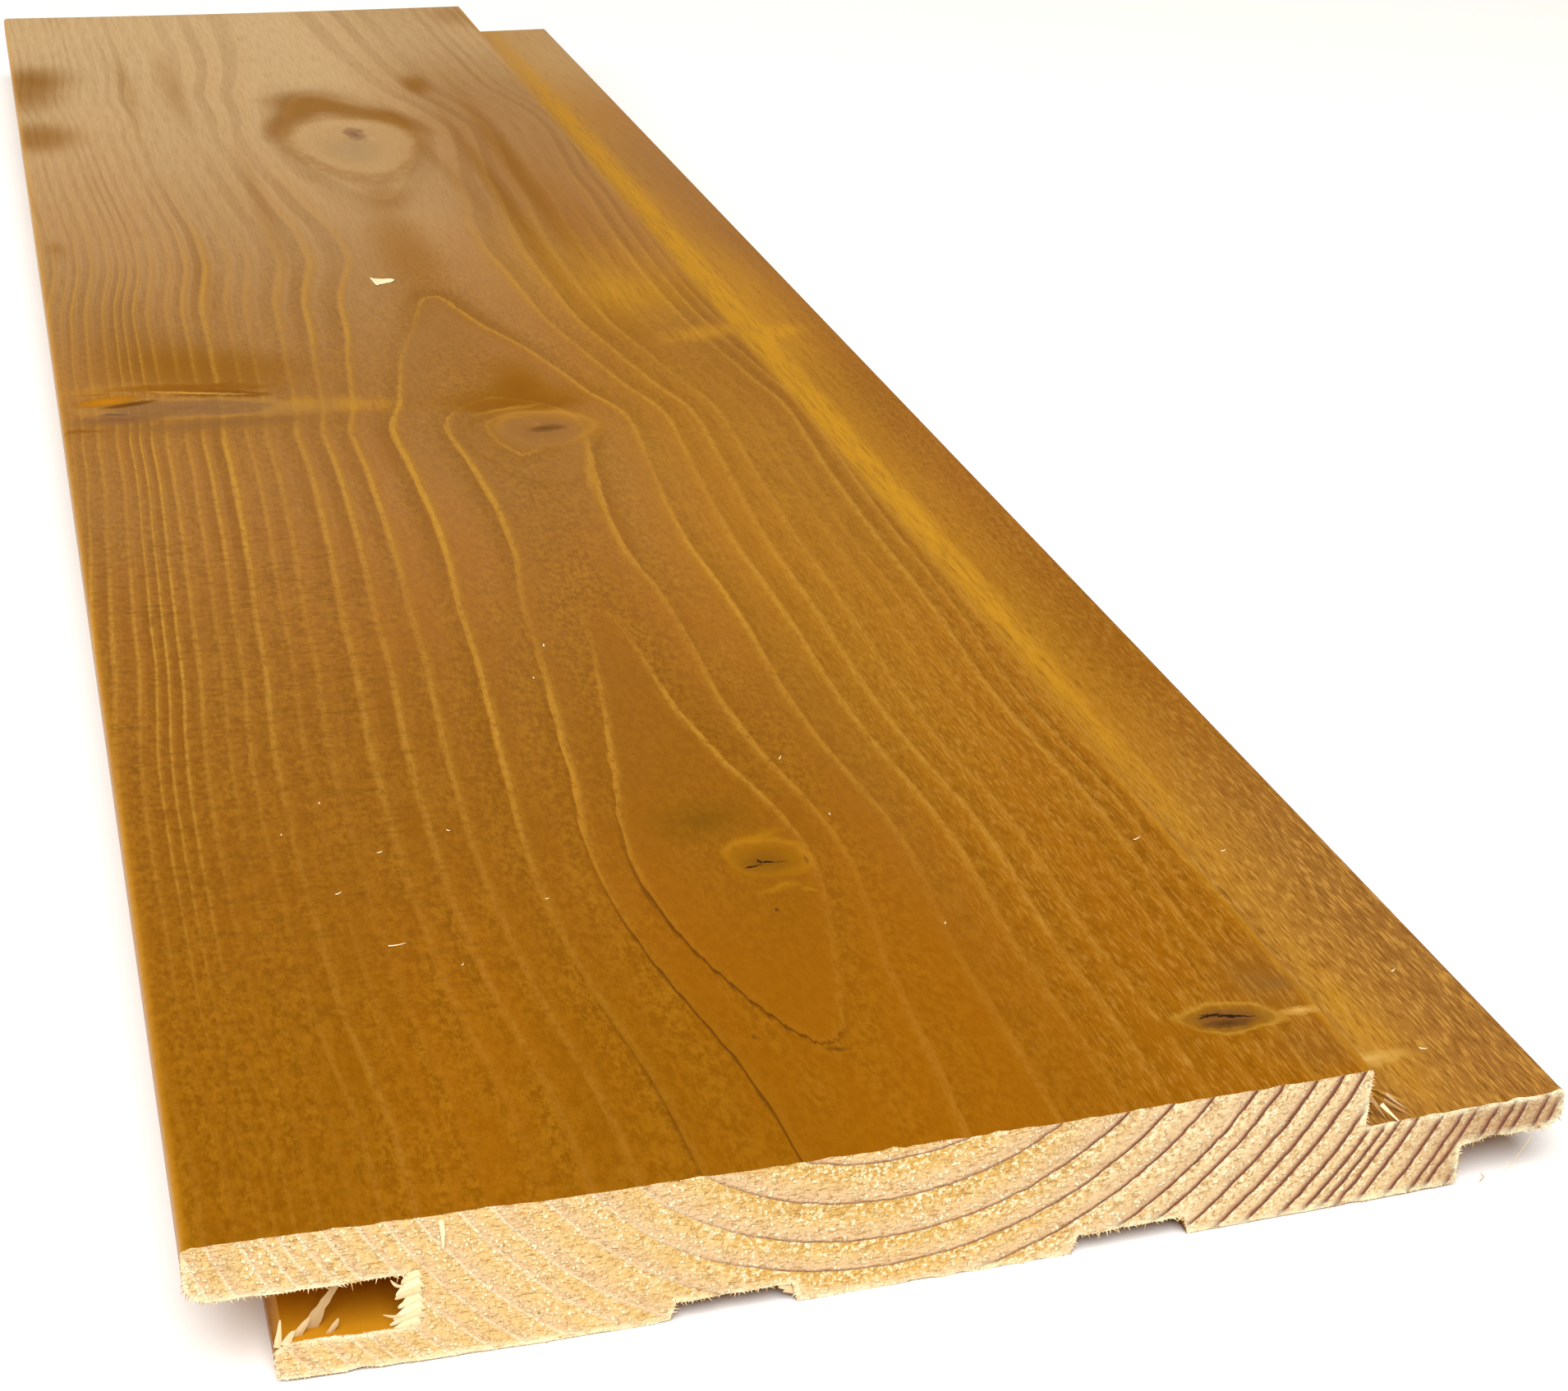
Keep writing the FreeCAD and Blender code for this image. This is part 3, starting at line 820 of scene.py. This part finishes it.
def maker_tree(name, sizes):
    """An empty node tree that takes a shape and named sizes, and gives a shape back."""
    tree = bpy.data.node_groups.new(name, "GeometryNodeTree")
    tree.interface.new_socket(name="Geometry", in_out="INPUT", socket_type="NodeSocketGeometry")
    for size_name, value in sizes.items():
        kind = "NodeSocketInt" if isinstance(value, int) else "NodeSocketFloat"
        tree.interface.new_socket(name=size_name, in_out="INPUT", socket_type=kind)
    tree.interface.new_socket(name="Geometry", in_out="OUTPUT", socket_type="NodeSocketGeometry")
    return tree, add(tree, "NodeGroupInput")


def torn_spruce():
    """Torn wood fibre: matt and finely streaked, pale cream to straw."""
    material, tree = empty_material("torn_spruce_fibre")
    tone = add(tree, "Attribute", attribute_name="tone").outputs["Fac"]
    place = add(tree, "TexCoord").outputs["Object"]
    streaks = add(tree, "TexNoise", {"Vector": place, "Scale": 3000.0, "Detail": 2.0})
    colour = lay_colours(tree, FIBRE_CREAM, [(FIBRE_PALE, 0.4, streaks), (FIBRE_AMBER, 1.0, tone)])
    finish_wood(tree, colour, streaks, 0.4, 0.05, {"Roughness": 0.8, "Specular IOR Level": 0.25})
    return material


def fibre_tree(sizes, material):
    """Grows short tapered fibres along an edge that carries its outward direction and its reach."""
    tree, group = maker_tree("torn_fibres", sizes)
    line = add(tree, "GeometryNodeMeshToCurve", {"Mesh": group.outputs["Geometry"]})
    spots = add(tree, "GeometryNodeCurveToPoints", {"Curve": line, "Length": group.outputs["Spacing"]},
                mode="LENGTH")
    outward = add(tree, "GeometryNodeInputNamedAttribute", {"Name": "outward"}, data_type="FLOAT_VECTOR")
    reach = add(tree, "GeometryNodeInputNamedAttribute", {"Name": "reach"}, data_type="FLOAT")
    seed = group.outputs["Seed"]
    stray = add(tree, "FunctionNodeRandomValue", {
        0: (-0.75, -0.35, -0.75), 1: (0.75, 0.25, 0.75), "Seed": seed}, data_type="FLOAT_VECTOR")
    heading = add(tree, "VectorMath", {0: outward, 1: stray}, operation="ADD")
    turn = add(tree, "FunctionNodeAlignRotationToVector", {"Vector": heading}, axis="Z")
    lottery = add(tree, "FunctionNodeRandomValue", {2: 0.0, 3: 1.0, "Seed": seed}, data_type="FLOAT")
    steep = add(tree, "Math", {0: lottery, 1: 2.2}, operation="POWER")
    drawn = add(tree, "Math", {0: steep, 1: 1.1, 2: 0.25}, operation="MULTIPLY_ADD")
    long_share = add(tree, "Math", {0: drawn, 1: reach}, operation="MULTIPLY")
    thin_share = add(tree, "Math", {0: reach, 1: 0.6, 2: 0.5}, operation="MULTIPLY_ADD")
    size = add(tree, "CombineXYZ", {"X": thin_share, "Y": thin_share, "Z": long_share})
    half = add(tree, "Math", {0: group.outputs["Thickness"], 1: 0.5}, operation="MULTIPLY")
    fibre = add(tree, "GeometryNodeMeshCone", {"Vertices": 4, "Radius Top": 0.0, "Radius Bottom": half,
                                               "Depth": group.outputs["Length"]})
    tone = add(tree, "FunctionNodeRandomValue", {2: 0.0, 3: 0.8, "Seed": 3}, data_type="FLOAT")
    toned = add(tree, "GeometryNodeStoreNamedAttribute", {"Geometry": spots, "Name": "tone", "Value": tone},
                data_type="FLOAT", domain="POINT")
    placed = add(tree, "GeometryNodeInstanceOnPoints", {
        "Points": toned, "Instance": fibre, "Rotation": turn, "Scale": size})
    real = add(tree, "GeometryNodeRealizeInstances", {"Geometry": placed})
    finished = add(tree, "GeometryNodeSetMaterial", {"Geometry": real, "Material": material})
    add(tree, "NodeGroupOutput", {"Geometry": finished})
    return tree


rim = [wood.vertices[index].co.copy() for index in rim_indices]
rim_mesh = bpy.data.meshes.new("sawn_rim")
rim_mesh.from_pydata(rim, [(i, (i + 1) % len(rim)) for i in range(len(rim))], [])
outward = []
reaches = []
for i, (x, z) in enumerate(outline):
    (ax, az), (bx, bz) = outline[i - 1], outline[(i + 1) % len(outline)]
    length = math.hypot(bx - ax, bz - az)
    upright = 0.2 if z < BOTTOM_EDGE or z > SHOW_FACE_LOW else 0.55
    outward += [0.8 * (bz - az) / length, -0.7, -upright * (bx - ax) / length]
    show_edge = z > SHOW_FACE_LOW or (x > STEP_X and z > TONGUE_TOP - 1.1)
    reaches.append(0.22 if show_edge else 0.6 if z < BOTTOM_EDGE else 1.0)
rim_mesh.attributes.new("outward", "FLOAT_VECTOR", "POINT").data.foreach_set("vector", outward)
rim_mesh.attributes.new("reach", "FLOAT", "POINT").data.foreach_set("value", reaches)
torn_fibre = torn_spruce()
fibre_sizes = {"Spacing": FIBRE_SPACING * MM, "Length": FIBRE_LENGTH * MM, "Thickness": FIBRE_THICKNESS * MM,
               "Seed": FIBRE_SEED}
rim_fibres = grown("torn_rim_fibres", rim_mesh, fibre_tree(fibre_sizes, torn_fibre), fibre_sizes)
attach(rim_fibres, "root")


# Splinters and loose flakes
# Longer slivers hang where the saw ran out at the groove, the relief grooves and the tongue, and a
# few flakes of planed wood lie on the board. Each is a flat strip of fibre that ends in a point.

SLIVER_OUT = 0.4
SLIVER_UP = 0.1
MOST_CURL = 0.16
# A sliver is: its points in millimetres, y from the sawn end, then its width, thickness and tone.
SLIVERS = [
    ([(-40.3, -0.15, 13.6), (-40.2, -0.3, 12.6), (-40.2, -0.25, 11.0)], 0.55, 0.2, 0.0),
    ([(-50.6, 1.6, 3.6), (-49.9, 1.8, 5.0), (-48.9, 2.0, 6.4), (-47.6, 2.3, 8.0)], 1.2, 0.1, 0.55),
    ([(-51.9, 0.9, 3.6), (-51.2, 1.0, 4.5), (-50.6, 1.2, 5.2)], 1.0, 0.16, 0.45),
    ([(-49.3, 0.7, 3.6), (-48.7, 0.8, 4.4), (-48.4, 0.9, 4.9)], 0.6, 0.14, 0.55),
    ([(-42.0, -0.1, 8.8), (-43.0, 0.0, 8.3), (-43.5, 0.2, 7.6)], 1.1, 0.3, 0.15),
    ([(-42.0, -0.1, 8.1), (-43.1, 0.0, 7.5), (-43.9, 0.2, 6.7)], 1.3, 0.35, 0.0),
    ([(-42.0, -0.1, 7.2), (-43.3, 0.0, 6.9), (-44.0, 0.3, 6.3)], 1.1, 0.3, 0.3),
    ([(-42.0, -0.1, 6.6), (-43.0, 0.0, 6.0), (-43.8, 0.2, 5.5)], 1.3, 0.35, 0.1),
    ([(-42.0, -0.1, 5.9), (-43.2, 0.0, 5.2), (-44.2, 0.2, 4.4)], 1.3, 0.35, 0.0),
    ([(-42.0, -0.1, 5.1), (-43.2, 0.0, 4.6), (-44.5, 0.2, 3.9)], 1.3, 0.3, 0.2),
    ([(-42.2, -0.1, 4.3), (-43.4, 0.0, 3.9), (-44.4, 0.1, 3.5)], 1.0, 0.3, 0.1),
    ([(-43.0, 0.0, 4.9), (-44.2, 0.1, 4.8), (-45.0, 0.4, 4.9)], 0.4, 0.14, 0.4),
    ([(-43.2, 0.0, 7.6), (-43.9, 0.1, 7.8), (-44.3, 0.4, 8.2)], 0.4, 0.12, 0.3),
    ([(-53.3, 0.2, 3.6), (-53.1, 0.4, 4.6), (-52.9, 0.7, 5.8)], 0.7, 0.14, 0.3),
    ([(-52.6, 0.2, 3.6), (-52.3, 0.4, 4.2), (-51.9, 0.5, 4.7)], 0.9, 0.14, 0.3),
    ([(-20.8, -0.1, 2.3), (-21.4, -0.1, 1.8), (-21.6, 0.1, 1.4)], 0.5, 0.14, 0.4),
    ([(-19.4, -0.1, 2.5), (-19.0, -0.1, 2.0), (-19.1, 0.1, 1.6)], 0.5, 0.14, 0.3),
    ([(-12.6, -0.1, 1.7), (-11.6, -0.15, 1.2), (-10.6, -0.1, 1.0)], 0.8, 0.25, 0.1),
    ([(-12.2, -0.1, 1.2), (-11.4, -0.15, 0.8), (-11.1, -0.1, 0.5)], 0.7, 0.25, 0.3),
    ([(14.3, -0.1, 2.5), (14.6, -0.1, 1.9), (14.3, 0.0, 1.3)], 0.3, 0.12, 0.0),
    ([(15.1, -0.1, 2.4), (15.3, -0.1, 1.8), (15.2, 0.0, 1.5)], 0.28, 0.12, 0.1),
    ([(23.2, -0.1, 2.0), (23.8, -0.1, 1.4), (24.3, 0.0, 0.9)], 0.8, 0.25, 0.6),
    ([(57.0, 0.0, 4.2), (56.3, -0.2, 3.2), (55.0, -0.4, 1.5), (54.1, -0.6, 0.5)], 0.12, 0.08, 0.5),
    ([(52.3, -0.3, 0.3), (52.6, -0.3, 0.7), (52.2, -0.2, 1.2)], 0.18, 0.08, 0.7),
    ([(41.6, 0.6, 9.8), (42.4, 0.2, 9.0), (43.2, -0.1, 8.2)], 0.35, 0.14, 0.0),
    ([(41.0, 1.9, 10.0), (41.6, 1.2, 9.2), (42.2, 0.5, 8.3)], 0.4, 0.12, 0.8),
    ([(40.5, 2.6, 9.6), (41.0, 1.9, 8.9), (41.5, 1.2, 8.2)], 0.35, 0.12, 0.95),
    ([(42.8, 2.2, 9.0), (43.8, 1.3, 8.5), (44.6, 0.5, 8.2)], 0.35, 0.12, 0.8),
    ([(43.6, 3.2, 8.8), (44.2, 2.3, 8.4), (44.8, 1.4, 8.2)], 0.3, 0.1, 0.5),
]
# A flake is: its middle, its length, width and turn in degrees. It lies on the face or the tongue.
FLAKES = [
    ((-8.3, 17.2), 3.4, 3.6, 84), ((-37.3, -178.4), 1.7, 0.2, 84), ((-11.4, -119.3), 0.7, 0.24, 10),
    ((-14.2, -127.2), 0.5, 0.2, 5), ((6.8, -151.3), 0.9, 0.2, 30), ((-29.2, -158.6), 0.5, 0.22, -40),
    ((-36.3, -161.4), 0.6, 0.22, 70), ((-40.6, -150.4), 0.45, 0.2, 0), ((-41.2, -168.2), 0.7, 0.2, 60),
    ((-32.2, -183.0), 0.4, 0.2, 30), ((-45.0, -156.0), 0.4, 0.2, 0), ((-22.5, -173.5), 0.4, 0.2, 80),
    ((8.2, -164.0), 0.45, 0.22, 0), ((12.4, -186.4), 0.4, 0.2, 20), ((48.6, -171.0), 0.8, 0.24, 70),
    ((54.5, -196.0), 0.7, 0.22, 60), ((50.8, -208.5), 0.8, 0.24, 110), ((36.2, -176.0), 0.9, 0.24, 64),
]


def add_strip(mesh, path, width, thickness, side, tone, tone_layer):
    """A flat pointed strip of wood fibre along a path, closed at both ends."""
    rings = []
    for i, point in enumerate(path):
        onward = (path[min(i + 1, len(path) - 1)] - path[max(i - 1, 0)]).normalized()
        across = onward.cross(side).normalized()
        taper = 1.0 - (i / (len(path) - 1)) ** 1.5 * 0.85
        uneven = 1.0 + 0.35 * noise.noise(point * 1.7)
        half = across * (0.5 * width * taper * uneven)
        deep = side * (0.5 * thickness * taper)
        rings.append([mesh.verts.new((point + offset) * MM) for offset in (half, deep, -half, -deep)])
    for ring in rings:
        for vertex in ring:
            vertex[tone_layer] = tone
    for near, far in zip(rings, rings[1:]):
        for i in range(4):
            mesh.faces.new([near[i], near[(i + 1) % 4], far[(i + 1) % 4], far[i]])
    mesh.faces.new(rings[0][::-1])
    mesh.faces.new(rings[-1])


def rounded_path(corners, steps=3):
    """A smooth path through the corners, with a few points between each pair."""
    path = []
    for i in range(len(corners) - 1):
        before, start = corners[max(i - 1, 0)], corners[i]
        end, after = corners[i + 1], corners[min(i + 2, len(corners) - 1)]
        for step in range(steps):
            t = step / steps
            square = 2 * before - 5 * start + 4 * end - after
            cube = 3 * start - before - 3 * end + after
            path.append(0.5 * (2 * start + (end - before) * t + square * t ** 2 + cube * t ** 3))
    return path + [corners[-1]]


def face_height(x):
    """The height of the dried board's show face or tongue in millimetres."""
    share = (x - board_low.x) / board_width
    return (board_thickness if x < STEP_X else TONGUE_TOP) + CUP * (1 - 4 * share * (1 - share))


torn = bmesh.new()
tone_layer = torn.verts.layers.float.new("tone")
for corners, width, thickness, tone in SLIVERS:
    placed = [Vector((x, board_low.y + y - SLIVER_OUT, z + SLIVER_UP)) for x, y, z in corners]
    add_strip(torn, rounded_path(placed), width, thickness, Vector((0, 1, 0)), tone, tone_layer)
for (x, y), length, width, turn in FLAKES:
    along = Vector((math.sin(math.radians(turn)), math.cos(math.radians(turn)), 0))
    lift = min(MOST_CURL, 0.1 + 0.02 * length)
    middle = Vector((x, y, face_height(x) + lift * 0.5))
    bend = Vector((0, 0, lift * 0.5))
    corners = [middle - along * length / 2 + bend, middle - along * length * 0.2,
               middle + along * length * 0.2, middle + along * length / 2 + bend]
    add_strip(torn, rounded_path(corners), width, lift, Vector((0, 0, 1)), 0.0, tone_layer)
bmesh.ops.recalc_face_normals(torn, faces=torn.faces)
splinter_mesh = bpy.data.meshes.new("torn_splinters")
torn.to_mesh(splinter_mesh)
torn.free()
splinter_mesh.materials.append(torn_fibre)
splinters = put_in_scene("torn_splinters", splinter_mesh)
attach(splinters, "root")


# Floor, light and camera
# A wide pale sheet under even daylight, and two large soft lamps: one above and before the board's
# near end, and a weaker one at its left, so that its shadow stays short and soft.

FLOOR_SIZE = 6.0
FLOOR_WHITE = "#FAFAF8"
FILL_COLOUR = "#FFE6C8"
FILL_STRENGTH = 0.2
LAMPS = {"front_lamp": ((-0.25, -1.2, 1.8), 1.6, 63.0), "left_lamp": ((-1.9, 0.1, 1.3), 1.4, 17.0)}
CAMERA_PLACE = (-65.13, -379.86, 140.24)
CAMERA_TURN = (63.582, -1.804, -16.620)
CAMERA_LENS = 59.9

floor_mesh = bpy.data.meshes.new("floor")
half = FLOOR_SIZE / 2
floor_corners = [(-half, -half, 0), (half, -half, 0), (half, half, 0), (-half, half, 0)]
floor_mesh.from_pydata(floor_corners, [], [(0, 1, 2, 3)])
floor = put_in_scene("floor", floor_mesh)
floor_paint, floor_tree = empty_material("pale_floor")
floor_surface = add(floor_tree, "BsdfPrincipled", {
    "Base Color": FLOOR_WHITE, "Roughness": 0.9, "Specular IOR Level": 0.0})
add(floor_tree, "OutputMaterial", {"Surface": floor_surface})
floor_mesh.materials.append(floor_paint)

world = bpy.data.worlds.new("soft_daylight")
world.use_nodes = True
sky = world.node_tree
sky.nodes.clear()
background = add(sky, "Background", {"Color": FILL_COLOUR, "Strength": FILL_STRENGTH})
add(sky, "OutputWorld", {"Surface": background})
bpy.context.scene.world = world

for name, (lamp_place, lamp_size, power) in LAMPS.items():
    lamp_data = bpy.data.lights.new(name, "AREA")
    lamp_data.shape = "SQUARE"
    lamp_data.size = lamp_size
    lamp_data.energy = power
    lamp = put_in_scene(name, lamp_data)
    lamp.location = lamp_place
    lamp.rotation_euler = (Vector((0, -0.05, 0)) - lamp.location).to_track_quat("-Z", "Y").to_euler()

camera_data = bpy.data.cameras.new("camera")
camera_data.lens = CAMERA_LENS
camera_data.sensor_width = 36.0
camera = put_in_scene("camera", camera_data)
camera.location = Vector(CAMERA_PLACE) * MM
camera.rotation_euler = Euler([math.radians(angle) for angle in CAMERA_TURN], "XYZ")
bpy.context.scene.camera = camera
bpy.context.scene.view_settings.view_transform = "Standard"
